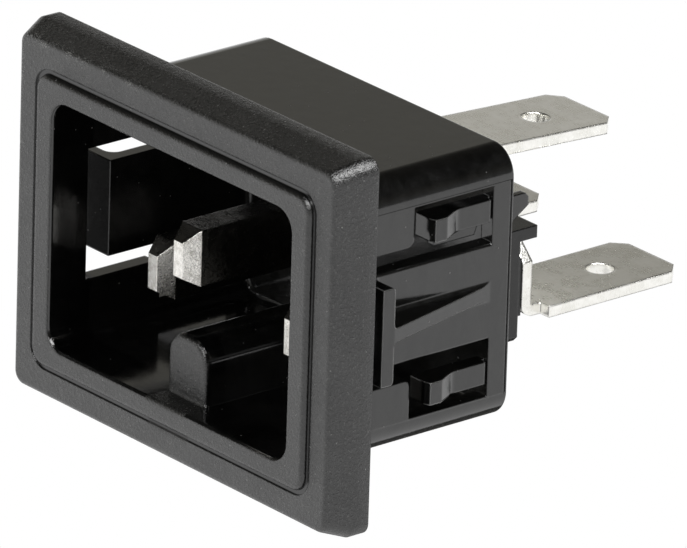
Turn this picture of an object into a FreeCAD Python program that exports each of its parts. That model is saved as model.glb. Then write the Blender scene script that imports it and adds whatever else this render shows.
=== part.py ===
"""Snap-in appliance inlet: housing, terminal carrier, three blades and three terminals.

Frame, in millimetres: X to the right seen from the front, Y into the panel, Z up. The origin is
on the axis of the plug cavity, in the plane where the flange seats on the panel.
"""

import FreeCAD, Part
import math
import os
import Sketcher

SIZES = {
    # plug cavity, open to the front
    "cavity_width": 24.5,
    "cavity_height": 17.2,
    "cavity_depth": 16.75,
    "cavity_corner": 1.45,
    "cavity_lip": 0.25,
    "cavity_floor_round": 0.5,
    "side_wall": 1.1,
    "top_wall": 0.8,
    "base_wall": 0.98,
    # flange and the raised ring on its face
    "flange_lip_side": 3.36,
    "flange_lip_top": 3.52,
    "flange_thickness": 3.15,
    "flange_bevel_depth": 1.9,
    "flange_bevel_side": 0.65,
    "flange_corner": 0.95,
    "flange_brow": 0.4,
    "ring_rim_side": 1.81,
    "ring_rim_top": 1.56,
    "ring_height": 0.3,
    "ring_corner": 1.2,
    "ring_round": 0.38,
    "moat_width": 0.33,
    "moat_depth": 0.12,
    # body behind the panel
    "body_corner": 2.0,
    "rear_round": 0.2,
    "panel_step": 0.04,
    "panel_step_height": 14.8,
    "rear_groove_width": 0.16,
    "rear_groove_depth": 0.15,
    # key rib on the cavity floor
    "key_width": 4.0,
    "key_height": 4.35,
    "key_setback": 1.8,
    "key_round": 1.6,
    "key_front_round": 0.4,
    # side openings that free the latch tongue and the two fingers
    "tongue_height": 6.7,
    "tongue_front": 1.5,
    "slot_height": 9.2,
    "slot_lead": 0.35,
    "window_front": 5.9,
    "window_rear": 12.5,
    "window_height": 14.6,
    "finger_front": 6.9,
    "finger_inner": 4.85,
    "finger_outer": 6.4,
    "finger_web_inner": 4.0,
    "finger_web_front": 8.0,
    "finger_web_rear": 11.4,
    "finger_web_depth": 0.5,
    "root_groove_width": 0.25,
    "root_groove_depth": 0.4,
    "window_round": 0.5,
    # catch bar and gusset on the tongue, barb on each finger
    "catch_reach": 2.4,
    "catch_depth": 1.0,
    "gusset_thickness": 0.95,
    "gusset_tail_gap": 0.65,
    "bar_corner": 0.25,
    "gusset_round": 0.35,
    "bar_root": 0.7,
    "barb_reach": 0.8,
    "barb_nose": 0.35,
    "barb_bevel": 0.15,
    "barb_land": 0.95,
    "barb_ramp": 1.6,
    "barb_crest_round": 0.3,
    "barb_foot_round": 1.0,
    # terminal carrier behind the base and the two hooks that hold it
    "carrier_width": 23.0,
    "carrier_thickness": 2.26,
    "carrier_bottom": 5.1,
    "carrier_top": 2.75,
    "carrier_chamfer": 0.35,
    "crown_width": 8.4,
    "crown_top": 5.3,
    "shelf_thickness": 0.85,
    "shelf_reach": 1.4,
    "boss_width": 4.3,
    "boss_height": 4.0,
    "boss_reach": 2.26,
    "boss_web": 1.3,
    "ledge_width": 2.0,
    "ledge_height": 0.6,
    "ledge_thickness": 0.9,
    "hook_clearance": 0.05,
    "hook_width": 0.5,
    "hook_thickness": 1.85,
    "hook_reach": 2.82,
    "hook_nose": 0.3,
    "hook_tip": 0.6,
    "hook_round": 0.3,
    # contact blades
    "pin_pitch": 14.0,
    "pin_row_drop": 2.54,
    "earth_offset": 4.0,
    "blade_width": 2.0,
    "blade_height": 3.9,
    "blade_taper": 1.15,
    "tip_width": 0.9,
    "tip_height": 2.45,
    "tip_drop": 0.12,
    "line_setback": 4.45,
    "earth_setback": 0.85,
    "blade_clearance": 0.05,
    "spigot_radius": 0.65,
    "rivet_radius": 0.75,
    "rivet_height": 0.5,
    "rivet_dome": 0.35,
    # stamped and bent quick-connect terminals
    "tab_width": 6.3,
    "tab_thickness": 0.8,
    "tab_reach": 13.1,
    "strip_width": 4.5,
    "strip_head": 2.94,
    "head_chamfer": 1.3,
    "shoulder_reach": 1.6,
    "bend_inner": 0.2,
    "line_drop": 2.21,
    "neutral_drop": 1.76,
    "neutral_extra_reach": 0.25,
    "earth_drop": 3.48,
    "earth_dip": 0.68,
    "hole_radius": 0.95,
    "hole_setback": 4.45,
    "tab_chamfer": 0.9,
}


class Dim:
    """A length that carries both its formula on the sheet and its present value."""

    def __init__(self, text, value):
        self.text = text
        self.value = value

    def __add__(self, other):
        other = as_dim(other)
        return Dim(f"({self.text} + {other.text})", self.value + other.value)

    def __sub__(self, other):
        other = as_dim(other)
        return Dim(f"({self.text} - {other.text})", self.value - other.value)

    def __mul__(self, factor):
        return Dim(f"({self.text} * {factor})", self.value * factor)

    def __truediv__(self, factor):
        return Dim(f"({self.text} / {factor})", self.value / factor)

    def __neg__(self):
        return self * -1


def as_dim(number):
    return number if isinstance(number, Dim) else Dim(str(float(number)), float(number))


class Sheet:
    """The document's spreadsheet: one row and one alias for each driving size."""

    def __init__(self, doc, sizes):
        table = doc.addObject("Spreadsheet::Sheet", "Sizes")
        for row, (name, value) in enumerate(sizes.items(), start=1):
            table.set(f"A{row}", name)
            table.set(f"B{row}", str(value))
            table.setAlias(f"B{row}", name)
            setattr(self, name, Dim(f"Sizes.{name}", value))


doc = FreeCAD.newDocument("panel_inlet")
size = Sheet(doc, SIZES)
doc.recompute()

ZERO = as_dim(0)
OVERLAP = as_dim(0.2)  # how far a feature starts inside the wall that it grows from
TOLERANCE = 1e-3  # two places closer than this are one place
PLANE_NORMAL = {"XY_Plane": 1, "XZ_Plane": -1, "YZ_Plane": 1}  # along the plane's own world axis

# places that several pieces share
cavity_x = size.cavity_width / 2
cavity_z = size.cavity_height / 2
body_x = cavity_x + size.side_wall
body_z = cavity_z + size.top_wall
flange_x = body_x + size.flange_lip_side
flange_z = body_z + size.flange_lip_top
flange_front = -size.flange_thickness
ring_x = cavity_x + size.ring_rim_side
ring_z = cavity_z + size.ring_rim_top
ring_front = flange_front - size.ring_height
cavity_floor = ring_front + size.cavity_depth
body_rear = cavity_floor + size.base_wall
carrier_rear = body_rear + size.carrier_thickness
plate_seat = carrier_rear + size.boss_reach
blade_end = plate_seat - size.boss_web
row_z = -size.pin_row_drop
earth_z = row_z + size.earth_offset
pin_x = size.pin_pitch / 2
PINS = {
    "earth": (ZERO, earth_z, size.earth_setback),
    "line": (pin_x, row_z, size.line_setback),
    "neutral": (-pin_x, row_z, size.line_setback),
}
TABS = {
    "earth": (1, size.earth_drop, size.tab_reach, size.earth_dip),
    "line": (-1, size.line_drop, size.tab_reach, ZERO),
    "neutral": (-1, size.neutral_drop, size.tab_reach + size.neutral_extra_reach, ZERO),
}


def new_body(label):
    body = doc.addObject("PartDesign::Body", label)
    body.Label = label
    return body


def origin_plane(body, role):
    return next(item for item in body.Origin.OriginFeatures if item.Role == role)


def bind(item, name, length):
    setattr(item, name, length.value)
    item.setExpression(name, length.text)


def add_sketch(body, name, role, at):
    """A sketch parallel to an origin plane, at the given coordinate along that plane's world axis."""
    sketch = body.newObject("Sketcher::SketchObject", name)
    sketch.AttachmentSupport = (origin_plane(body, role), "")
    sketch.MapMode = "FlatFace"
    lift = at * PLANE_NORMAL[role]
    sketch.AttachmentOffset = FreeCAD.Placement(FreeCAD.Vector(0, 0, lift.value), FreeCAD.Rotation())
    sketch.setExpression(".AttachmentOffset.Base.z", lift.text)
    return sketch


def pin_point(sketch, element, position, u, v):
    """Ties a point of the sketch to its two coordinates."""
    for axis, kind, length in ((-2, "DistanceX", u), (-1, "DistanceY", v)):
        if length is ZERO:
            sketch.addConstraint(Sketcher.Constraint("PointOnObject", element, position, axis))
        else:
            index = sketch.addConstraint(Sketcher.Constraint(kind, -1, 1, element, position, length.value))
            sketch.setExpression(f"Constraints[{index}]", length.text)


def draw_polygon(sketch, points):
    """A closed outline through corners given as pairs of lengths."""
    corners = [FreeCAD.Vector(u.value, v.value, 0) for u, v in points]
    sides = [
        sketch.addGeometry(Part.LineSegment(a, b), False)
        for a, b in zip(corners, corners[1:] + corners[:1])
    ]
    for side, following in zip(sides, sides[1:] + sides[:1]):
        sketch.addConstraint(Sketcher.Constraint("Coincident", side, 2, following, 1))
    for side, (u, v) in zip(sides, points):
        pin_point(sketch, side, 1, u, v)


def draw_circle(sketch, u, v, radius):
    centre = FreeCAD.Vector(u.value, v.value, 0)
    ring = sketch.addGeometry(Part.Circle(centre, FreeCAD.Vector(0, 0, 1), radius.value), False)
    index = sketch.addConstraint(Sketcher.Constraint("Radius", ring, radius.value))
    sketch.setExpression(f"Constraints[{index}]", radius.text)
    pin_point(sketch, ring, 3, u, v)


def draw_rounded(sketch, u_half, v_half, radius):
    """A closed rectangle about the origin whose corners are quarter circles."""
    up = FreeCAD.Vector(0, 0, 1)
    quarter = math.pi / 2
    arcs = []
    for turn, (u_sign, v_sign) in enumerate([(1, 1), (-1, 1), (-1, -1), (1, -1)]):
        u = (u_half - radius) * u_sign
        v = (v_half - radius) * v_sign
        circle = Part.Circle(FreeCAD.Vector(u.value, v.value, 0), up, radius.value)
        arc = Part.ArcOfCircle(circle, turn * quarter, (turn + 1) * quarter)
        arcs.append(sketch.addGeometry(arc, False))
        index = sketch.addConstraint(Sketcher.Constraint("Radius", arcs[-1], radius.value))
        sketch.setExpression(f"Constraints[{index}]", radius.text)
        pin_point(sketch, arcs[-1], 3, u, v)
    ends = [(sketch.getPoint(arc, 1), sketch.getPoint(arc, 2)) for arc in arcs]
    for i, arc in enumerate(arcs):
        following = (i + 1) % len(arcs)
        side = sketch.addGeometry(Part.LineSegment(ends[i][1], ends[following][0]), False)
        sketch.addConstraint(Sketcher.Constraint("Tangent", arc, 2, side, 1))
        sketch.addConstraint(Sketcher.Constraint("Tangent", side, 2, arcs[following], 1))


def rectangle(u_low, u_high, v_low, v_high):
    return [(u_low, v_low), (u_high, v_low), (u_high, v_high), (u_low, v_high)]


def centred(u_half, v_half, u=ZERO, v=ZERO):
    return rectangle(u - u_half, u + u_half, v - v_half, v + v_half)


def extrude(body, kind, name, sketch, role, start, end):
    """Pads or pockets a sketch from start to end, and checks that it changed the solid as it should."""
    before = body.Tip.Shape.Volume if body.Tip else 0.0
    toward = 1 if end.value > start.value else -1
    feature = body.newObject(f"PartDesign::{kind}", name)
    feature.Profile = sketch
    bind(feature, "Length", (end - start) * toward)
    along_normal = toward == PLANE_NORMAL[role]
    feature.Reversed = along_normal if kind == "Pocket" else not along_normal
    doc.recompute()
    gain = feature.Shape.Volume - before
    if (gain <= 0) == (kind == "Pad"):
        raise RuntimeError(f"{body.Label}.{name} changed the volume by {gain:.3f}")
    return feature


def prism(body, kind, name, role, start, end, *outlines):
    sketch = add_sketch(body, name + "_outline", role, start)
    for points in outlines:
        draw_polygon(sketch, points)
    return extrude(body, kind, name, sketch, role, start, end)


def cylinder(body, kind, name, role, start, end, u, v, radius):
    sketch = add_sketch(body, name + "_circle", role, start)
    draw_circle(sketch, u, v, radius)
    return extrude(body, kind, name, sketch, role, start, end)


def rounded_prism(body, kind, name, span, outline):
    """A prism along Y over span, from the half width, half height and corner radius of its outline."""
    start, end = span
    sketch = add_sketch(body, name + "_outline", "XZ_Plane", start)
    draw_rounded(sketch, *outline)
    return extrude(body, kind, name, sketch, "XZ_Plane", start, end)


def mirror(body, name, role, originals):
    feature = body.newObject("PartDesign::Mirrored", name)
    feature.Originals = originals
    feature.MirrorPlane = (origin_plane(body, role), [""])
    body.Tip = feature
    doc.recompute()


def soften(body, name, radius, wanted, kind="Fillet"):
    """Rounds or chamfers the edges of the tip for which wanted(edge) is true."""
    tip = body.Tip
    names = [f"Edge{i}" for i, edge in enumerate(tip.Shape.Edges, start=1) if wanted(edge)]
    if not names:
        raise RuntimeError(f"{body.Label}.{name} found no edge")
    feature = body.newObject(f"PartDesign::{kind}", name)
    feature.Base = (tip, names)
    bind(feature, "Radius" if kind == "Fillet" else "Size", radius)
    doc.recompute()
    if "Invalid" in feature.State:
        raise RuntimeError(f"{body.Label}.{name} failed")
    return feature


def near(a, b):
    return abs(a - b) < TOLERANCE


def runs_along(edge, axis):
    """True for a straight edge parallel to a world axis."""
    box = edge.BoundBox
    spans = {"x": box.XLength, "y": box.YLength, "z": box.ZLength}
    length = spans.pop(axis)
    return length > TOLERANCE and max(spans.values()) < TOLERANCE


def lies_flat(edge, y):
    """True for an edge that lies wholly in the plane Y = y."""
    return near(edge.BoundBox.YMin, y.value) and near(edge.BoundBox.YMax, y.value)


def within(edge, half_x, half_z):
    """True for an edge whose middle lies inside a rectangle centred on the Y axis, or on its border."""
    middle = edge.CenterOfMass
    return abs(middle.x) < half_x.value + TOLERANCE and abs(middle.z) < half_z.value + TOLERANCE



def make_flange(body):
    prism(body, "Pad", "flange", "XZ_Plane", ZERO, flange_front, centred(flange_x, flange_z))
    depth = size.flange_bevel_depth
    bevel = soften(body, "flange_bevel", depth, lambda e: lies_flat(e, flange_front), "Chamfer")
    bevel.ChamferType = "Two distances"
    bind(bevel, "Size2", size.flange_bevel_side)
    doc.recompute()
    levels = (flange_front, flange_front + depth, ZERO)
    soften(
        body,
        "flange_corners",
        size.flange_corner,
        lambda e: not any(lies_flat(e, level) for level in levels),
    )
    soften(body, "flange_brow", size.flange_brow, lambda e: lies_flat(e, flange_front))
    moat_floor = flange_front + size.moat_depth
    moat_corner = size.ring_corner + size.moat_width
    rounded_prism(
        body,
        "Pocket",
        "moat",
        (flange_front, moat_floor),
        (ring_x + size.moat_width, ring_z + size.moat_width, moat_corner),
    )
    rounded_prism(
        body, "Pad", "ring", (moat_floor + OVERLAP, ring_front), (ring_x, ring_z, size.ring_corner)
    )
    soften(body, "ring_edge", size.ring_round, lambda e: lies_flat(e, ring_front))


def make_shroud(body):
    prism(body, "Pad", "shroud", "XZ_Plane", -OVERLAP, body_rear, centred(body_x, body_z))
    soften(
        body,
        "shroud_corners",
        size.body_corner,
        lambda e: runs_along(e, "y") and near(e.BoundBox.YMax, body_rear.value),
    )
    soften(body, "shroud_rear", size.rear_round, lambda e: lies_flat(e, body_rear))
    round_start = body_rear - size.rear_round
    panel_end = round_start - size.rear_groove_width
    half = size.panel_step_height / 2
    prism(
        body,
        "Pad",
        "side_panels",
        "XZ_Plane",
        -OVERLAP,
        panel_end,
        centred(body_x + size.panel_step, half),
    )
    groove = prism(
        body,
        "Pocket",
        "rear_groove",
        "YZ_Plane",
        body_x + OVERLAP,
        body_x - size.rear_groove_depth,
        rectangle(panel_end, round_start, -half, half),
    )
    mirror(body, "rear_groove_left", "YZ_Plane", [groove])
    prism(body, "Pocket", "cavity", "XZ_Plane", ring_front, cavity_floor, centred(cavity_x, cavity_z))
    soften(
        body,
        "cavity_corners",
        size.cavity_corner,
        lambda e: runs_along(e, "y") and near(e.BoundBox.YMin, ring_front.value),
    )
    soften(
        body,
        "cavity_lip",
        size.cavity_lip,
        lambda e: lies_flat(e, ring_front) and within(e, cavity_x, cavity_z),
    )
    soften(body, "cavity_floor_edge", size.cavity_floor_round, lambda e: lies_flat(e, cavity_floor))


def side_opening():
    """One outline, in Y and Z, of the opening that leaves the tongue and both fingers standing."""
    upper = [
        (size.tongue_front, size.tongue_height / 2),
        (size.window_rear, size.tongue_height / 2),
        (size.window_rear, size.finger_inner),
        (size.finger_front, size.finger_inner),
        (size.finger_front, size.finger_outer),
        (size.window_rear, size.finger_outer),
        (size.window_rear, size.window_height / 2),
        (size.window_front, size.window_height / 2),
        (size.window_front, size.slot_height / 2),
        (-size.slot_lead, size.slot_height / 2),
    ]
    lower = [(y, -z) for y, z in reversed(upper)]
    return upper + lower


def make_openings(body):
    edge_x = body_x + size.panel_step
    prism(body, "Pocket", "side_openings", "YZ_Plane", -edge_x, edge_x, side_opening())
    soften(
        body,
        "window_corners",
        size.window_round,
        lambda e: runs_along(e, "x")
        and near(e.BoundBox.YMin, size.window_front.value)
        and near(abs(e.CenterOfMass.z), size.slot_height.value / 2),
    )


def make_latches(body):
    bar_rear = size.tongue_front + size.catch_depth
    bar_x = body_x + size.catch_reach
    inner_x = cavity_x + OVERLAP
    bar = prism(
        body,
        "Pad",
        "catch_bar",
        "YZ_Plane",
        inner_x,
        bar_x,
        rectangle(size.tongue_front, bar_rear, -size.tongue_height / 2, size.tongue_height / 2),
    )
    half = size.gusset_thickness / 2
    gusset_tail = cavity_floor - size.gusset_tail_gap
    gusset = prism(
        body,
        "Pad",
        "gusset",
        "XY_Plane",
        -half,
        half,
        [
            (inner_x, bar_rear - OVERLAP),
            (bar_x, bar_rear - OVERLAP),
            (bar_x, bar_rear),
            (body_x, gusset_tail),
            (inner_x, gusset_tail),
        ],
    )
    front = size.finger_front
    barb_x = body_x + size.barb_reach
    land_end = front + size.barb_bevel + size.barb_land
    barb_outline = [
        (inner_x, front),
        (body_x + size.barb_nose, front),
        (barb_x, front + size.barb_bevel),
        (barb_x, land_end),
        (body_x, land_end + size.barb_ramp),
        (inner_x, land_end + size.barb_ramp),
    ]
    barbs = [
        prism(body, "Pad", "upper_barb", "XY_Plane", size.finger_inner, size.finger_outer, barb_outline),
        prism(body, "Pad", "lower_barb", "XY_Plane", -size.finger_outer, -size.finger_inner, barb_outline),
    ]
    web = prism(
        body,
        "Pad",
        "finger_web",
        "YZ_Plane",
        cavity_x,
        body_x - size.finger_web_depth,
        [
            (size.finger_web_front, size.finger_inner + OVERLAP),
            (size.finger_web_front, size.finger_web_inner),
            (size.finger_web_rear, size.finger_web_inner),
            (size.finger_web_rear + size.root_groove_depth, size.finger_inner + OVERLAP),
        ],
    )
    groove_front = size.window_rear - size.root_groove_width
    grooves = [
        rectangle(groove_front, size.window_rear, size.finger_inner - OVERLAP, size.finger_outer + OVERLAP),
        rectangle(groove_front, size.window_rear, -size.finger_outer - OVERLAP, -size.finger_inner + OVERLAP),
    ]
    groove_floor = body_x - size.root_groove_depth
    groove = prism(
        body, "Pocket", "finger_root_grooves", "YZ_Plane", body_x + size.barb_reach, groove_floor, *grooves
    )
    mirror(body, "left_latches", "YZ_Plane", [bar, gusset] + barbs + [web, groove])
    soften_latches(body, bar_rear, barb_x, land_end)


def soften_latches(body, bar_rear, barb_x, land_end):
    """Rounds the catch bars' corners, the roots of the gussets and both bends of each barb."""
    bar_edge = size.tongue_height.value / 2
    gusset_edge = size.gusset_thickness.value / 2
    panel_x = body_x + size.panel_step

    def bar_corner(edge):
        middle = edge.CenterOfMass
        return runs_along(edge, "x") and near(middle.y, bar_rear.value) and near(abs(middle.z), bar_edge)

    def gusset_root(edge):
        middle = edge.CenterOfMass
        return runs_along(edge, "x") and near(middle.y, bar_rear.value) and near(abs(middle.z), gusset_edge)

    def bar_root(edge):
        middle = edge.CenterOfMass
        return runs_along(edge, "z") and near(abs(middle.x), panel_x.value) and near(middle.y, bar_rear.value)

    def barb_crest(edge):
        middle = edge.CenterOfMass
        return runs_along(edge, "z") and near(abs(middle.x), barb_x.value) and near(middle.y, land_end.value)

    def barb_foot(edge):
        middle = edge.CenterOfMass
        on_ramp = land_end.value < middle.y < (land_end + size.barb_ramp).value
        return runs_along(edge, "z") and near(abs(middle.x), panel_x.value) and on_ramp

    soften(body, "bar_roots", size.bar_root, bar_root)
    soften(body, "bar_corners", size.bar_corner, bar_corner)
    soften(body, "gusset_roots", size.gusset_round, gusset_root)
    soften(body, "barb_crests", size.barb_crest_round, barb_crest)
    soften(body, "barb_feet", size.barb_foot_round, barb_foot)


def make_key(body):
    """The rib that only the matching notched connector passes."""
    front = ring_front + size.key_setback
    top = size.key_height - cavity_z
    half = size.key_width / 2
    outline = rectangle(-half, half, -cavity_z - OVERLAP, top)
    prism(body, "Pad", "key_rib", "XZ_Plane", cavity_floor + OVERLAP, front, outline)

    def crown(edge):
        return runs_along(edge, "y") and near(edge.CenterOfMass.z, top.value) and within(edge, half, cavity_z)

    def front_rim(edge):
        on_wall = near(edge.CenterOfMass.z, -cavity_z.value)
        return lies_flat(edge, front) and within(edge, half, cavity_z) and not on_wall

    soften(body, "key_crown", size.key_round, crown)
    soften(body, "key_front", size.key_front_round, front_rim)


def make_carrier_hooks(body):
    """Two arms behind the base, each with a nose that drops behind a ledge of the carrier."""
    outer = size.carrier_width / 2
    inner = outer - size.hook_width
    arm_bottom = size.carrier_top + size.ledge_height + size.hook_clearance
    arm_top = arm_bottom + size.hook_thickness
    catch_y = body_rear + size.ledge_thickness + size.hook_clearance
    end_y = body_rear + size.hook_reach
    outline = [
        (body_rear - OVERLAP, arm_bottom),
        (catch_y, arm_bottom),
        (catch_y, arm_bottom - size.hook_nose),
        (end_y, arm_top - size.hook_tip - size.hook_round),
        (end_y, arm_top - size.hook_round),
        (end_y - size.hook_round, arm_top),
        (body_rear - OVERLAP, arm_top),
    ]
    hook = prism(body, "Pad", "carrier_hook", "YZ_Plane", inner, outer, outline)
    mirror(body, "carrier_hook_left", "YZ_Plane", [hook])


def blade_slot(x, z):
    half_x = size.blade_width / 2 + size.blade_clearance
    half_z = size.blade_height / 2 + size.blade_clearance
    return centred(half_x, half_z, x, z)


def make_housing():
    body = new_body("housing")
    make_flange(body)
    make_shroud(body)
    make_openings(body)
    make_latches(body)
    make_key(body)
    make_carrier_hooks(body)
    slots = [blade_slot(x, z) for x, z, _ in PINS.values()]
    prism(body, "Pocket", "blade_slots", "XZ_Plane", cavity_floor - OVERLAP, body_rear + OVERLAP, *slots)
    return body


def make_carrier():
    body = new_body("terminal_carrier")
    side = size.carrier_width / 2
    bottom = -size.carrier_bottom
    corner = size.carrier_chamfer
    crown = size.crown_width / 2
    outline = [
        (corner - side, bottom),
        (side - corner, bottom),
        (side, bottom + corner),
        (side, size.carrier_top),
        (crown, size.carrier_top),
        (crown, size.crown_top),
        (-crown, size.crown_top),
        (-crown, size.carrier_top),
        (-side, size.carrier_top),
        (-side, bottom + corner),
    ]
    prism(body, "Pad", "plate", "XZ_Plane", body_rear, carrier_rear, outline)
    shelf = rectangle(-side, side, size.carrier_top - size.shelf_thickness, size.carrier_top)
    prism(body, "Pad", "shelf", "XZ_Plane", carrier_rear - OVERLAP, carrier_rear + size.shelf_reach, shelf)
    ledge_z = (size.carrier_top - OVERLAP, size.carrier_top + size.ledge_height)
    ledges = [
        rectangle(side - size.ledge_width, side, *ledge_z),
        rectangle(-side, size.ledge_width - side, *ledge_z),
    ]
    prism(body, "Pad", "hook_ledges", "XZ_Plane", body_rear, body_rear + size.ledge_thickness, *ledges)
    for name, (x, z, _) in PINS.items():
        boss = centred(size.boss_width / 2, size.boss_height / 2, x, z)
        prism(body, "Pad", f"{name}_boss", "XZ_Plane", carrier_rear - OVERLAP, plate_seat, boss)
    slots = [blade_slot(x, z) for x, z, _ in PINS.values()]
    prism(body, "Pocket", "blade_slots", "XZ_Plane", body_rear, blade_end, *slots)
    bore = size.spigot_radius + size.blade_clearance
    for name, (x, z, _) in PINS.items():
        cylinder(body, "Pocket", f"{name}_bore", "XZ_Plane", blade_end - OVERLAP, plate_seat, x, z, bore)
    return body


def make_blade(name, x, z, setback):
    """A flat pin with a coined tip, a round spigot through the carrier and a peened head."""
    body = new_body(name)
    tip = ring_front + setback
    full = tip + size.blade_taper
    section = centred(size.blade_width / 2, size.blade_height / 2, x, z)
    prism(body, "Pad", "blade", "XZ_Plane", full, blade_end, section)
    wide = add_sketch(body, "full_section", "XZ_Plane", full)
    draw_polygon(wide, section)
    narrow = add_sketch(body, "tip_section", "XZ_Plane", tip)
    draw_polygon(narrow, centred(size.tip_width / 2, size.tip_height / 2, x, z - size.tip_drop))
    coined = body.newObject("PartDesign::AdditiveLoft", "coined_tip")
    coined.Profile = wide
    coined.Sections = [narrow]
    coined.Ruled = True
    doc.recompute()
    head_seat = plate_seat + size.tab_thickness
    head_end = head_seat + size.rivet_height
    spigot = (blade_end - OVERLAP, head_seat + OVERLAP)
    cylinder(body, "Pad", "spigot", "XZ_Plane", *spigot, x, z, size.spigot_radius)
    cylinder(body, "Pad", "peened_head", "XZ_Plane", head_seat, head_end, x, z, size.rivet_radius)
    soften(body, "head_dome", size.rivet_dome, lambda e: lies_flat(e, head_end))
    return body


def make_terminal(name, x, z, side, drop, reach, dip):
    """A strip riveted behind the carrier and bent back into a tab, above the rivet if side is 1."""
    body = new_body(name)
    thick = size.tab_thickness
    tip = plate_seat + reach
    head_z = z - size.strip_head * side
    outer_z = z + drop * side
    inner_z = outer_z - thick * side
    dip_z = dip * side
    strip = size.strip_width / 2
    bend = [
        (plate_seat, head_z),
        (plate_seat + thick, head_z),
        (plate_seat + thick, inner_z),
        (tip, inner_z - dip_z),
        (tip, outer_z - dip_z),
        (plate_seat, outer_z),
    ]
    prism(body, "Pad", "strip", "YZ_Plane", x - strip, x + strip, bend)
    shoulder = plate_seat + size.shoulder_reach
    shoulder_dip = dip_z * (size.shoulder_reach.value / reach.value)
    blade = [
        (shoulder, inner_z - shoulder_dip),
        (tip, inner_z - dip_z),
        (tip, outer_z - dip_z),
        (shoulder, outer_z - shoulder_dip),
    ]
    half = size.tab_width / 2
    prism(body, "Pad", "tab", "YZ_Plane", x - half, x + half, blade)
    soften(body, "bend_inside", size.bend_inner, lambda e: along_x_at(e, plate_seat + thick, inner_z))
    soften(body, "bend_outside", size.bend_inner + thick, lambda e: along_x_at(e, plate_seat, outer_z))
    soften(
        body,
        "head_corners",
        size.head_chamfer,
        lambda e: runs_along(e, "y") and near(e.CenterOfMass.z, head_z.value),
        "Chamfer",
    )
    soften(
        body,
        "tab_corners",
        size.tab_chamfer,
        lambda e: runs_along(e, "z") and near(e.CenterOfMass.y, tip.value),
        "Chamfer",
    )
    hole_y = tip - size.hole_setback
    through = thick + dip + OVERLAP
    detent = (outer_z - through, outer_z + through)
    cylinder(body, "Pocket", "detent_hole", "XY_Plane", *detent, x, hole_y, size.hole_radius)
    rivet_bore = size.spigot_radius + size.blade_clearance
    rivet = (plate_seat - OVERLAP, plate_seat + thick + OVERLAP)
    cylinder(body, "Pocket", "rivet_hole", "XZ_Plane", *rivet, x, z, rivet_bore)
    return body


def along_x_at(edge, y, z):
    middle = edge.CenterOfMass
    return runs_along(edge, "x") and near(middle.y, y.value) and near(middle.z, z.value)


def check(bodies):
    """Stops if any object of the document failed or any sub-part is not one valid solid."""
    doc.recompute()
    for item in doc.Objects:
        if "Invalid" in item.State or "Error" in item.State:
            raise RuntimeError(f"{item.Label}: {item.State}")
    for body in bodies:
        shape = body.Shape
        if shape.isNull() or not shape.isValid() or len(shape.Solids) != 1:
            raise RuntimeError(f"{body.Label} is not one valid solid")
        print(f"{body.Label:18s} {shape.Volume:9.2f} mm3  {len(shape.Faces)} faces")


bodies = [make_housing(), make_carrier()]
for pin, (x, z, setback) in PINS.items():
    bodies.append(make_blade(f"{pin}_blade", x, z, setback))
    bodies.append(make_terminal(f"{pin}_terminal", x, z, *TABS[pin]))

check(bodies)
os.makedirs("parts", exist_ok=True)
for body in bodies:
    body.Shape.exportStep(f"parts/{body.Label}.step")
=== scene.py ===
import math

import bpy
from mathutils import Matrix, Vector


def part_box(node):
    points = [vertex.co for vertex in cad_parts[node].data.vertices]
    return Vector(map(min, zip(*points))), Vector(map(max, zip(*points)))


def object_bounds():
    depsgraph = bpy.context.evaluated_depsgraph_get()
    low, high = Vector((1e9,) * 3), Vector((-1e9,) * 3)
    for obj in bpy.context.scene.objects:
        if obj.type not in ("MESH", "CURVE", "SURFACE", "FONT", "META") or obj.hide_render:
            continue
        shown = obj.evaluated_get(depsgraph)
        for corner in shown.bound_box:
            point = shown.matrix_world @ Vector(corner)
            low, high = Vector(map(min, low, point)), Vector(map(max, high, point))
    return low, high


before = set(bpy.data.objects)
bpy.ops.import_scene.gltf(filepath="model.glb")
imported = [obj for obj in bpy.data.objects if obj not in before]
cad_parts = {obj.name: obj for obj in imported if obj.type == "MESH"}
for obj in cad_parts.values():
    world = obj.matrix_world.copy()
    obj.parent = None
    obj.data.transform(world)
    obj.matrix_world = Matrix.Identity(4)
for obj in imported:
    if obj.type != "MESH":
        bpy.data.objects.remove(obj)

# %% [markdown]
# # A snap-in appliance inlet
#
# The object is a black moulded inlet that snaps into a panel, with flat contact blades at the front and
# quick-connect tabs at the back. Its eight pieces come from the CAD model, already in their places, and every
# rib, latch and chamfer is part of them. So this lesson is about what makes them look real: one finish for
# each material, and a small studio round them. Everything is in metres, with X to the right, Y into the
# panel and Z up.

scene = bpy.context.scene
scene.view_settings.view_transform = "Standard"
MM = 0.001
cad_low, cad_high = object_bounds()
for name in sorted(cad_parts):
    low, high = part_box(name)
    print(name, "measures", [round((b - a) / MM, 2) for a, b in zip(low, high)], "mm")

# %% [markdown]
# ## The camera
#
# A long lens from well away keeps the inlet's parallel edges nearly parallel, as in a catalogue picture. The
# camera could follow a Track To constraint, but then it could not lean. So its matrix is built from three
# directions: it is placed by two angles round the object, then rolled a little about its own axis.

# %% The camera
AZIMUTH = math.radians(49.887)
ELEVATION = math.radians(21.744)
ROLL = math.radians(1.761)
LOOK_AT = Vector((7.791, 4.8, 1.164)) * MM
CAMERA_DISTANCE = 767.63 * MM
SENSOR_WIDTH = 36
LENS = 625.8
NEAREST_SEEN = 0.01


def direction(azimuth, elevation):
    """The unit vector from the object toward a place in the studio; azimuth 0 is straight in front."""
    flat = math.cos(elevation)
    return Vector((math.sin(azimuth) * flat, -math.cos(azimuth) * flat, math.sin(elevation)))


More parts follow.
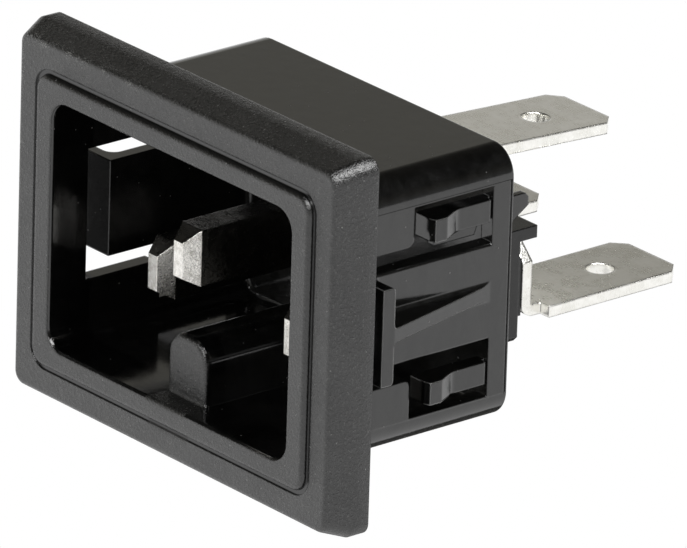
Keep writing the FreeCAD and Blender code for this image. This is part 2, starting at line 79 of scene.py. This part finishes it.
away = direction(AZIMUTH, ELEVATION)
level = Vector((math.cos(AZIMUTH), math.sin(AZIMUTH), 0))
upright = away.cross(level)
right = level * math.cos(ROLL) + upright * math.sin(ROLL)
up = upright * math.cos(ROLL) - level * math.sin(ROLL)
camera = bpy.data.objects.new("camera", bpy.data.cameras.new("camera"))
scene.collection.objects.link(camera)
placed = Matrix((right, up, away)).transposed().to_4x4()
placed.translation = LOOK_AT + away * CAMERA_DISTANCE
camera.matrix_world = placed
camera.data.sensor_width = SENSOR_WIDTH
camera.data.lens = LENS
camera.data.clip_start = NEAREST_SEEN
scene.camera = camera
print("camera at", [round(v, 3) for v in placed.translation], "with a", LENS, "mm lens")

# %% [markdown]
# ## Writing a material as sums
#
# A finish is a tree of nodes, and most of its nodes are plain arithmetic on positions. They could be added
# and linked one at a time, but that takes three lines for each sum. Here `Wire` stands for one output in the
# tree and knows the usual operators, so that `1 - mask` adds a Subtract node by itself. `Tree` holds the
# nodes, and its `node` method adds any one of them. `Finish` is a tree for a material: its `place` gives the
# position on the object in millimetres, which is the unit that the sizes below are in.


# %% Wires
class Wire:
    """One output of a tree, usable in sums."""

    def __init__(self, owner, socket):
        self.owner = owner
        self.socket = socket

    def maths(self, operation, *values):
        return self.owner.node("Math", {"operation": operation}, dict(enumerate(values)))

    def __add__(self, other):
        return self.maths("ADD", self, other)

    __radd__ = __add__

    def __sub__(self, other):
        return self.maths("SUBTRACT", self, other)

    def __rsub__(self, other):
        return self.maths("SUBTRACT", other, self)

    def __mul__(self, other):
        return self.maths("MULTIPLY", self, other)

    __rmul__ = __mul__

    def __pow__(self, power):
        return self.maths("POWER", self, power)

    def __abs__(self):
        return self.maths("ABSOLUTE", self)

    def at_least(self, other):
        return self.maths("MAXIMUM", self, other)

    def at_most(self, other):
        return self.maths("MINIMUM", self, other)

    def rise(self, start, end):
        """0 at start, 1 at end, with a soft passage between them; start may be above end."""
        low, high, first, last = (start, end, 0, 1) if start < end else (end, start, 1, 0)
        sockets = {"Value": self, "From Min": low, "From Max": high, "To Min": first, "To Max": last}
        return self.owner.node("MapRange", {"interpolation_type": "SMOOTHSTEP"}, sockets)

    def within(self, low, high, soft):
        """1 between low and high, with a soft passage of the given half width at each."""
        return self.rise(low - soft, low + soft) * self.rise(high + soft, high - soft)


# %% Trees
def grey(level):
    """An opaque colour without hue."""
    return (level, level, level, 1)


WHITE = grey(1)


class Tree:
    """The nodes of a material or of the room."""

    def __init__(self, owner):
        owner.use_nodes = True
        self.nodes = owner.node_tree.nodes
        self.links = owner.node_tree.links
        self.nodes.clear()

    def node(self, kind, settings=None, sockets=None, output=0):
        """Adds a node with its settings, then the values or wires of its sockets."""
        made = self.nodes.new("ShaderNode" + kind)
        for key, value in (settings or {}).items():
            setattr(made, key, value)
        for key, value in (sockets or {}).items():
            if isinstance(value, Wire):
                self.links.new(value.socket, made.inputs[key])
            else:
                made.inputs[key].default_value = value
        return Wire(self, made.outputs[output])

    def ramp(self, value, stops):
        """A grey that passes through the given pairs of value and level."""
        graded = self.node("ValToRGB", sockets={0: value})
        elements = graded.socket.node.color_ramp.elements
        while len(elements) < len(stops):
            elements.new(0.5)
        for element, (position, level) in zip(elements, stops):
            element.position = position
            element.color = grey(level)
        return graded

    def split(self, vector):
        """The three parts of a vector."""
        parts = self.node("SeparateXYZ", sockets={0: vector}).socket.node.outputs
        return [Wire(self, part) for part in parts]

    def mix(self, mask, first, second):
        """A colour between two others."""
        return self.node("Mix", {"data_type": "RGBA"}, {0: mask, 6: first, 7: second}, output=2)

    def end(self, kind, shader):
        """Closes the tree with an output of the given kind."""
        out = self.nodes.new("ShaderNode" + kind)
        self.links.new(shader.socket, out.inputs["Surface"])


# %% Finishes
BEVEL_SAMPLES = 8


class Finish(Tree):
    """A material, with the position on the object in millimetres."""

    def __init__(self, name):
        self.material = bpy.data.materials.new(name)
        super().__init__(self.material)
        where = self.node("TexCoord", output="Object")
        self.place = self.node("VectorMath", {"operation": "SCALE"}, {0: where, "Scale": 1 / MM})
        self.x, self.y, self.z = self.split(self.place)

    def noise(self, scale, detail, roughness, place=None):
        """Clouds of the given number per millimetre, about 0.5 on average."""
        sockets = {"Vector": place or self.place, "Scale": scale, "Detail": detail, "Roughness": roughness}
        return self.node("TexNoise", sockets=sockets)

    def specks(self, spacing, radius):
        """Round specks, 1 in the middle of each; about one for each cube of the given spacing."""
        cells = {"Vector": self.place, "Scale": 1 / spacing, "Randomness": 1.0}
        away_from_speck = self.node("TexVoronoi", sockets=cells, output="Distance") * spacing
        return away_from_speck.rise(radius, radius * 0.4)

    def stretched(self, x, y, z):
        """The position with each axis scaled, for grain that runs one way."""
        return self.node("VectorMath", {"operation": "MULTIPLY"}, {0: self.place, 1: (x, y, z)})

    def bump(self, height, distance, normal):
        """A normal that shows a height of the given distance in millimetres, on top of another normal."""
        return self.node("Bump", sockets={"Distance": distance * MM, "Height": height, "Normal": normal})

    def plain_normal(self):
        return self.node("NewGeometry", output="Normal")

    def facing(self):
        """How far the surface turns toward +X, +Y and +Z."""
        return self.split(self.plain_normal())

    def rounded_edges(self, radius):
        """A normal that turns smoothly over sharp edges, as moulded or sheared edges do."""
        return self.node("Bevel", {"samples": BEVEL_SAMPLES}, {"Radius": radius * MM})

    def near_edge(self, rounded):
        """0 on flat faces, rising toward 1 where a rounded normal leaves the plain one."""
        both = {0: rounded, 1: self.plain_normal()}
        agreement = self.node("VectorMath", {"operation": "DOT_PRODUCT"}, both, output="Value")
        return agreement.rise(0.995, 0.85)

    def blend_normals(self, mask, first, second):
        return self.node("Mix", {"data_type": "VECTOR"}, {0: mask, 4: first, 5: second}, output=1)

    def surface(self, sockets):
        """Ends the tree in a Principled shader with these sockets."""
        self.end("OutputMaterial", self.node("BsdfPrincipled", sockets=sockets, output="BSDF"))
        print(self.material.name, "uses", len(self.nodes), "nodes")
        return self.material


# %% [markdown]
# ## The moulded housing
#
# One mould gives the housing two kinds of skin. The faces that a customer sees, the flange and the ring, are
# spark eroded: a fine grain that scatters light and looks dark grey. Inside the cavity and behind the panel
# the steel was polished, so the same plastic is a glossy black there. Each skin could be a material of its
# own, but then the mesh would need an edge along every line where they meet. Here there is one material, and
# masks made from the position tell the two apart. They are sharp, because in the mould the change is a sharp
# line too.

# %% Where the housing is polished
SHARP = 0.02
CAVITY_HALF = (12.25, 8.6)
CAVITY_CORNER = 1.45
POLISH_END = 0.1
RING_HALF = (14.06, 10.16)
RING_CORNER = 1.2
RING_ROUND = 0.38
RING_HEIGHT = 0.3
MOAT_WIDTH = 0.33
KEY_HALF = 2.0
KEY_TOP = -4.25
KEY_FRONT = -1.65
PANEL_FACE = 0.02
FLANGE_HALF = (16.8, 13.0)
FLANGE_CORNER = 1.0
FLANGE_FRONT = cad_low[1] / MM + RING_HEIGHT
FACE_DEPTH = 0.2
SHOULDER = -1.25
SHOULDER_SLOPE = 0.34
print("the polish fills a cavity of", 2 * CAVITY_HALF[0], "by", 2 * CAVITY_HALF[1], "mm")


def outside(finish, half, corner):
    """Distance in X and Z from a round-cornered rectangle about the Y axis, negative inside it."""
    over_x = abs(finish.x) - (half[0] - corner)
    over_z = abs(finish.z) - (half[1] - corner)
    beyond_x = over_x.at_least(0)
    beyond_z = over_z.at_least(0)
    reach = (beyond_x * beyond_x + beyond_z * beyond_z) ** 0.5
    return reach + over_x.at_least(over_z).at_most(0) - corner


def at_face(finish):
    """1 at the flange's front face and before it."""
    return finish.y.rise(FLANGE_FRONT + FACE_DEPTH + 0.15, FLANGE_FRONT + FACE_DEPTH)


def key_mask(finish, depth):
    """1 on the front of the key rib, as far back as the given depth."""
    across = abs(finish.x).rise(KEY_HALF + SHARP, KEY_HALF - SHARP)
    below = finish.z.rise(KEY_TOP + 0.1, KEY_TOP + 0.05)
    return across * below * finish.y.rise(KEY_FRONT + depth, KEY_FRONT + 0.05)


def polished_mask(finish):
    """1 where the mould was polished: the cavity, the moat, and everything behind the panel."""
    in_cavity = outside(finish, CAVITY_HALF, CAVITY_CORNER).rise(POLISH_END + 0.04, POLISH_END - 0.04)
    key_face = key_mask(finish, 0.25)
    moat = outside(finish, RING_HALF, RING_CORNER).within(0.0, MOAT_WIDTH, 0.03) * at_face(finish)
    behind = finish.y.rise(PANEL_FACE, PANEL_FACE + SHARP)
    return (in_cavity * (1 - key_face)).at_least(moat).at_least(behind)


def ring_wall_mask(finish):
    """1 on the ring's outer wall and the round above it, where the grain fades out and the colour is painted
    darker, as painted shade.
    """
    past_ring = outside(finish, RING_HALF, RING_CORNER)
    return past_ring.within(-RING_ROUND * 0.5, MOAT_WIDTH / 2, RING_ROUND * 0.4) * at_face(finish)


def brow_glint_mask(finish, patches):
    """1 in patches along the flange's brow, where glints are painted on the grain."""
    rim = outside(finish, FLANGE_HALF, FLANGE_CORNER).within(-1.1, -0.45, 0.3)
    brow = rim * finish.y.rise(FLANGE_FRONT + 0.7, FLANGE_FRONT)
    return brow * patches * finish.x.rise(2.0, -12.0) * finish.z.rise(0.0, 8.0)


def shoulder_blend(finish):
    """A height that carries the flange's slope on into its flat rim, so that the shoulder is one curve."""
    along = finish.y.at_least(SHOULDER).at_most(0)
    return (SHOULDER * SHOULDER - along * along) * (SHOULDER_SLOPE / (-2 * SHOULDER))


# %% [markdown]
# ## The two skins of the housing
#
# Black plastic is never one black. On the eroded skin the crests of the grain are painted lighter than its
# hollows, as painted sparkle, patches along the flange's brow get painted glints, and the ring's wall, which
# slides in the mould, is smoother and painted darker, as painted shade. The polished skin is nearly black,
# painted darkest in the cavity as painted shade, with smudges behind the panel, specks of dust that settle on
# it, and painted highlights on the edges that stand out behind it. Both could be painted as a picture, but
# noises of a few sizes, mixed by the masks, stay fine at any distance.

# %% The colours of the two skins
ERODED_HOLLOW, ERODED_CREST = grey(0.006), (0.095, 0.095, 0.094, 1)
# the grey of the painted glints on the brow and of the bright specks
GLINT_AND_SPECK_GREY = (0.38, 0.38, 0.37, 1)
# painted shade: the cavity is coloured darker than the polished skin behind the panel
CAVITY_SHADE_DARK, CAVITY_SHADE_LIGHT = grey(0.004), grey(0.008)
BODY_DARK, BODY_LIGHT = (0.004, 0.004, 0.0038, 1), (0.024, 0.024, 0.023, 1)
# the grey of dust specks and of the painted highlights on edges
DUST_AND_HIGHLIGHT = (0.40, 0.40, 0.39, 1)


def eroded_colour(finish, grain, pits, swirl, ring_wall):
    """Grey grain with painted sparkle on its crests, painted glints in patches on the brow, a few bright
    specks, and painted shade on the ring's wall.
    """
    clouds = finish.noise(0.35, 3, 0.55)
    # painted sparkle: the colour is lighter where the grain and pits rise, as if their crests catch light
    painted_sparkle = pits.rise(0.54, 0.70) * 0.6 + grain.rise(0.52, 0.72) * 0.5
    # painted shade: the ring's wall is darkened in the colour
    tone = (0.15 + (clouds - 0.5) * 0.5 + painted_sparkle) * (1 - ring_wall * 0.8)
    matt = finish.mix(tone.at_most(1), ERODED_HOLLOW, ERODED_CREST)
    # painted glints in patches along the brow
    brow_glints = brow_glint_mask(finish, swirl.rise(0.4, 0.6)) * pits.rise(0.50, 0.62)
    bright = (brow_glints + finish.specks(0.8, 0.07) * 0.6).at_most(1)
    return finish.mix(bright, matt, GLINT_AND_SPECK_GREY)


def polished_colour(finish, pits, swirl, dust_and_highlight, in_front):
    """Near black in the cavity as painted shade, lighter and smudged behind the panel, with dust and painted
    edge highlights where that mask says.
    """
    # painted shade of the deep cavity
    cavity = finish.mix(swirl.rise(0.35, 0.7), CAVITY_SHADE_DARK, CAVITY_SHADE_LIGHT)
    smudges = finish.noise(0.5, 4, 0.7, finish.stretched(1.0, 2.2, 1.0))
    mottle = smudges.rise(0.3, 0.7) * 0.6 + pits.rise(0.35, 0.75) * 0.4
    body = finish.mix(mottle, BODY_DARK, BODY_LIGHT)
    return finish.mix(dust_and_highlight, finish.mix(in_front, body, cavity), DUST_AND_HIGHLIGHT)


# %% [markdown]
# ## The housing's edges
#
# No moulded edge is quite sharp. Bevels in the mesh would follow it everywhere, but on thousands of small
# edges they cost much and change nothing that is seen except the glint. So the Bevel node turns the normal
# alone. The key rib's front is rounder than the rest, and the upper step of the side panel is so low that a
# rounded normal would make it a dark line, so the plain normal is kept there.

# %% The edges of the housing
EDGE_ROUND = 0.16
KEY_ROUND = 0.5
SIDE_STEP = 7.4
BODY_HALF = 13.35
BODY_REAR = 17.1


def standing_out(finish):
    """1 on what stands out past the body's sides or at its rear, where the edges get a painted highlight."""
    past_side = abs(finish.x).rise(BODY_HALF + 0.2, BODY_HALF + 0.35)
    return past_side.at_least(finish.y.rise(BODY_REAR - 0.3, BODY_REAR))


def housing_edges(finish, rounded, in_front):
    """The rounded normal, with a wider round on the key rib and none at the side panel's upper step."""
    on_step = finish.z.within(SIDE_STEP - EDGE_ROUND, SIDE_STEP + EDGE_ROUND, 0.03) * (1 - in_front)
    with_step = finish.blend_normals(on_step, rounded, finish.plain_normal())
    return finish.blend_normals(key_mask(finish, 0.6), with_step, finish.rounded_edges(KEY_ROUND))


# %% The black polyamide
POLYAMIDE_IOR = 1.7
GRAIN_DEPTH = 0.09


def black_polyamide():
    """The housing's plastic: grained in front, polished inside and behind."""
    finish = Finish("black_polyamide")
    polished = polished_mask(finish)
    eroded = 1 - polished
    ring_wall = ring_wall_mask(finish)
    in_front = finish.y.rise(PANEL_FACE, PANEL_FACE - SHARP)
    grain = finish.noise(4.6, 3, 0.68)
    pits = finish.noise(11.0, 2, 0.6)
    swirl = finish.noise(1.1, 3, 0.6)
    dust = finish.specks(0.9, 0.07) * swirl.rise(0.42, 0.55)
    rounded = finish.rounded_edges(EDGE_ROUND)
    # painted highlight: edges that stand out behind the panel are lightened in the colour
    edge_highlight = finish.near_edge(rounded) * standing_out(finish) * (1 - in_front)
    settled = dust * polished * (in_front * 0.5 + 0.5)
    # dust, and the painted edge highlight, lighten the polished colour
    gloss = polished_colour(finish, pits, swirl, settled.at_least(edge_highlight * 0.7), in_front)
    skin = eroded_colour(finish, grain, pits, swirl, ring_wall)
    grained = 0.22 + (grain - 0.5) * 0.35 - ring_wall * 0.08
    shiny = 0.09 + swirl.rise(0.3, 0.8) * 0.08 + dust * 0.4
    relief = (grain * 0.65 + pits * 0.35) * eroded * (1 - ring_wall * 0.4) + swirl * polished * 0.05
    edges = housing_edges(finish, rounded, in_front)
    shaped = finish.bump(shoulder_blend(finish) * eroded, 1.0, edges)
    return finish.surface(
        {
            "Base Color": finish.mix(polished, skin, gloss),
            "Roughness": grained * eroded + shiny * polished,
            "IOR": POLYAMIDE_IOR,
            "Normal": finish.bump(relief, GRAIN_DEPTH, shaped),
        }
    )


def give(node, material):
    """Puts a finish on every slot of a piece."""
    for piece_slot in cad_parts[node].material_slots:
        piece_slot.material = material


give("housing", black_polyamide())

# %% [markdown]
# ## The terminal carrier
#
# The carrier is a second, smaller moulding of black plastic, clipped behind the housing. It could share the
# housing's finish, but it has no face that anyone looks at, so its mould was left plain: one satin skin with
# faint flow marks, and no masks.


# %% The carrier's satin black
CARRIER_IOR = 1.5
FLOW_DARK, FLOW_LIGHT = grey(0.006), grey(0.016)
CARRIER_DUST = grey(0.10)


def black_carrier():
    """Satin plastic with faint flow marks along the moulding's length."""
    finish = Finish("black_carrier")
    flow = finish.noise(0.8, 3, 0.55, finish.stretched(0.5, 1.6, 1.6))
    grain = finish.noise(9.0, 2, 0.6)
    dust = finish.specks(1.1, 0.05)
    plastic = finish.mix(flow.rise(0.3, 0.75), FLOW_DARK, FLOW_LIGHT)
    return finish.surface(
        {
            "Base Color": finish.mix(dust * 0.7, plastic, CARRIER_DUST),
            "Roughness": 0.14 + flow * 0.16,
            "IOR": CARRIER_IOR,
            "Normal": finish.bump(grain * 0.3 + flow * 0.2, 0.02, finish.rounded_edges(EDGE_ROUND)),
        }
    )


give("terminal_carrier", black_carrier())

# %% [markdown]
# ## The contact blades
#
# The blades are cut from drawn brass strip and plated with nickel. The faces that turn forward or back are
# painted bright, as painted highlight, and the top and the long sides are painted dark, as painted shade; all
# of them are a little uneven and full of dull spots, and fine lines along the strip are in the bump. The
# forward faces could be told by their place, but the blades don't all start at the same depth, so the colour
# goes by which way a face turns.


# %% Nickel plating
BRIGHT_NICKEL, DULL_NICKEL = (0.94, 0.92, 0.88, 1), (0.62, 0.60, 0.55, 1)
# painted shade: the dark colours of the top and the long sides
SHADED_SIDE_LIGHT, SHADED_SIDE_DARK = (0.30, 0.29, 0.27, 1), (0.05, 0.048, 0.044, 1)
BLADE_EDGE_ROUND = 0.08


def nickel_blade():
    """Plated brass: forward faces painted bright and the top and sides painted dark, all mottled, with fine
    lines along the strip.
    """
    finish = Finish("nickel_blade")
    _, along, upward = finish.facing()
    # painted highlight on faces that turn forward or back, not up
    painted_lit_faces = abs(along).rise(0.15, 0.35) * upward.rise(0.5, 0.3)
    drawn = finish.noise(5.0, 3, 0.6, finish.stretched(3.0, 0.25, 3.0))
    spots = finish.noise(1.7, 4, 0.7)
    scuffs = finish.noise(6.0, 3, 0.7)
    dull = (spots.rise(0.40, 0.62) * 0.6 + scuffs.rise(0.45, 0.7) * 0.4).at_most(1)
    tip = finish.mix(dull, BRIGHT_NICKEL, DULL_NICKEL)
    side = finish.mix(dull, SHADED_SIDE_LIGHT, SHADED_SIDE_DARK)
    relief = drawn * 0.6 + spots * 0.4
    return finish.surface(
        {
            "Base Color": finish.mix(painted_lit_faces, side, tip),
            "Metallic": 1.0,
            "Roughness": 0.12 + dull * 0.22,
            "Normal": finish.bump(relief, 0.04, finish.rounded_edges(BLADE_EDGE_ROUND)),
        }
    )


plating = nickel_blade()
for name in ("earth_blade", "line_blade", "neutral_blade"):
    give(name, plating)

# %% [markdown]
# ## The tabs
#
# The terminals are stamped from tinned brass sheet. Tin is soft and dull: its faces are satin and slightly
# clouded, with faint rolling lines across them, and a dark line of painted shade runs round each upper face.
# The line could be a groove in the mesh, but it is only painted shade on a turned edge. So a mask finds where
# the rounded normal leaves the plain one on faces that turn up, and darkens the colour there.


# %% Tinned sheet
DULL_TIN, BRIGHT_TIN = (0.86, 0.85, 0.80, 1), (1.0, 0.99, 0.95, 1)
# painted shade on the turned edges of the upper faces
EDGE_SHADE = (0.14, 0.135, 0.12, 1)
TAB_EDGE_ROUND = 0.22


def tinned_tab():
    """Satin tin with faint rolling lines, clouds, and a dark line of painted shade round the upper faces."""
    finish = Finish("tinned_tab")
    lines = finish.noise(3.0, 3, 0.55, finish.stretched(0.35, 5.0, 1.0))
    clouds = finish.noise(0.7, 3, 0.6)
    patches = finish.noise(2.2, 4, 0.7)
    specks = finish.noise(8.0, 2, 0.7)
    tone = clouds * 0.45 + patches * 0.2 + lines * 0.25 + specks * 0.1
    tin = finish.mix(tone.rise(0.40, 0.60), DULL_TIN, BRIGHT_TIN)
    edges = finish.rounded_edges(TAB_EDGE_ROUND)
    _, _, upward = finish.facing()
    # painted shade: the colour darkens near edges on faces that turn up
    edge_shade = finish.near_edge(edges) * upward.rise(0.3, 0.8)
    return finish.surface(
        {
            "Base Color": finish.mix(edge_shade * 0.85, tin, EDGE_SHADE),
            "Metallic": 1.0,
            "Roughness": 0.20 + tone * 0.16,
            "Normal": finish.bump(lines * 0.5 + specks * 0.2 + patches * 0.3, 0.009, edges),
        }
    )


sheet_tin = tinned_tab()
for name in ("earth_terminal", "line_terminal", "neutral_terminal"):
    give(name, sheet_tin)

# %% [markdown]
# ## The studio
#
# Product pictures of black plastic are lit from low down: a bright white table below, a room that gets dark
# toward the ceiling and to the right, and soft lamps at the height of the object. The upright faces then turn
# grey, and the tops and round edges stay dark. Two higher lamps add glints only. A picture of a real studio
# could light it all at once, but then no part of it could be steered alone. A grey card on the table, behind
# the object and to its left, keeps the lower edges from vanishing into the white. What the camera sees behind
# the object is plain white.


# %% The room's light
ROOM_LEVELS = [(0.0, 1.0), (0.08, 0.8), (0.24, 0.5), (0.34, 0.33), (0.42, 0.20), (0.55, 0.05), (1.0, 0.02)]
RIGHT_SHARE = 0.25
WARM = (1.0, 0.97, 0.86, 1)


def room():
    """A soft light from all round, strongest at the horizon on the left, and plain white to the camera."""
    world = bpy.data.worlds.new("room")
    scene.world = world
    tree = Tree(world)
    across, _, height = tree.split(tree.node("TexCoord", output="Generated"))
    level = tree.ramp(height, ROOM_LEVELS)
    left = across.rise(0.35, -0.35) * (1 - RIGHT_SHARE) + RIGHT_SHARE
    warm = tree.mix(height.rise(0.0, 0.4), WHITE, WARM)
    light = tree.node("Background", sockets={"Color": warm, "Strength": level * left})
    white = tree.node("Background", sockets={"Color": WHITE})
    seen = tree.node("LightPath", output="Is Camera Ray")
    tree.end("OutputWorld", tree.node("MixShader", sockets={0: seen, 1: light, 2: white}))
    print("the room uses", len(tree.nodes), "nodes")


room()

# %% The table
FLOOR_DROP = 45 * MM
TABLE_REACH = 3.0
floor = cad_low[2] - FLOOR_DROP


def lay_flat(name, outline, height, material):
    """A flat sheet of the studio, from its outline in X and Y."""
    mesh = bpy.data.meshes.new(name)
    mesh.from_pydata([(x, y, height) for x, y in outline], [], [tuple(range(len(outline)))])
    mesh.materials.append(material)
    sheet = bpy.data.objects.new(name, mesh)
    scene.collection.objects.link(sheet)
    return sheet


def white_table():
    """Plain white to the camera and to reflections, and lit like paper for all other light."""
    finish = Finish("white_table")
    path = finish.node("LightPath").socket.node.outputs
    seen, mirrored = [Wire(finish, path[f"Is {kind} Ray"]) for kind in ("Camera", "Glossy")]
    paper = finish.node("BsdfDiffuse", sockets={"Color": grey(0.9)})
    white = finish.node("Emission", sockets={"Color": WHITE, "Strength": 1})
    shown = seen.at_least(mirrored)
    finish.end("OutputMaterial", finish.node("MixShader", sockets={0: shown, 1: paper, 2: white}))
    return finish.material


corners = [(x * TABLE_REACH, y * TABLE_REACH) for x, y in ((-1, -1), (1, -1), (1, 1), (-1, 1))]
lay_flat("table", corners, floor, white_table())
print("the table lies", round(FLOOR_DROP / MM), "mm below the inlet")

# %% The card
CARD_STEPS = 9


def grey_card():
    """Flat grey paper, without any shine."""
    finish = Finish("grey_card")
    return finish.surface({"Base Color": grey(0.45), "Roughness": 0.9, "Specular IOR Level": 0.0})


def lay_card(name, first, last, near, far):
    """A grey sector of the table between two angles and two distances, which the camera doesn't see."""
    angles = [math.radians(first + (last - first) * step / CARD_STEPS) for step in range(CARD_STEPS + 1)]
    inner = [direction(angle, 0) * near for angle in angles]
    outer = [direction(angle, 0) * far for angle in reversed(angles)]
    card = lay_flat(name, [(p.x, p.y) for p in inner + outer], floor + MM, grey_card())
    card.visible_camera = False
    print(name, "covers the table from", near / MM, "to", far / MM, "mm")


lay_card("card", first=165, last=250, near=0.03, far=0.125)

# %% The lamps
LAMP_DISTANCE = 0.9


def soft_lamp(name, azimuth, elevation, size, power, glints):
    """A square soft box that faces the object, and either fills in the shade or only makes glints."""
    light = bpy.data.lights.new(name, "AREA")
    light.shape = "SQUARE"
    light.size = size
    light.energy = power
    lamp = bpy.data.objects.new(name, light)
    scene.collection.objects.link(lamp)
    toward = direction(math.radians(azimuth), math.radians(elevation))
    lamp.location = LOOK_AT + toward * LAMP_DISTANCE
    lamp.rotation_euler = toward.to_track_quat("Z", "Y").to_euler()
    lamp.visible_glossy = glints
    lamp.visible_diffuse = not glints
    print(name, "gives", power, "W from", azimuth, "degrees round and", elevation, "up")


soft_lamp("front_lamp", azimuth=-10, elevation=4, size=0.6, power=4.0, glints=False)
soft_lamp("side_lamp", azimuth=100, elevation=4, size=0.6, power=4.0, glints=False)
soft_lamp("top_lamp", azimuth=103, elevation=57, size=0.6, power=14.0, glints=True)
soft_lamp("window", azimuth=36, elevation=44, size=0.4, power=5.0, glints=True)
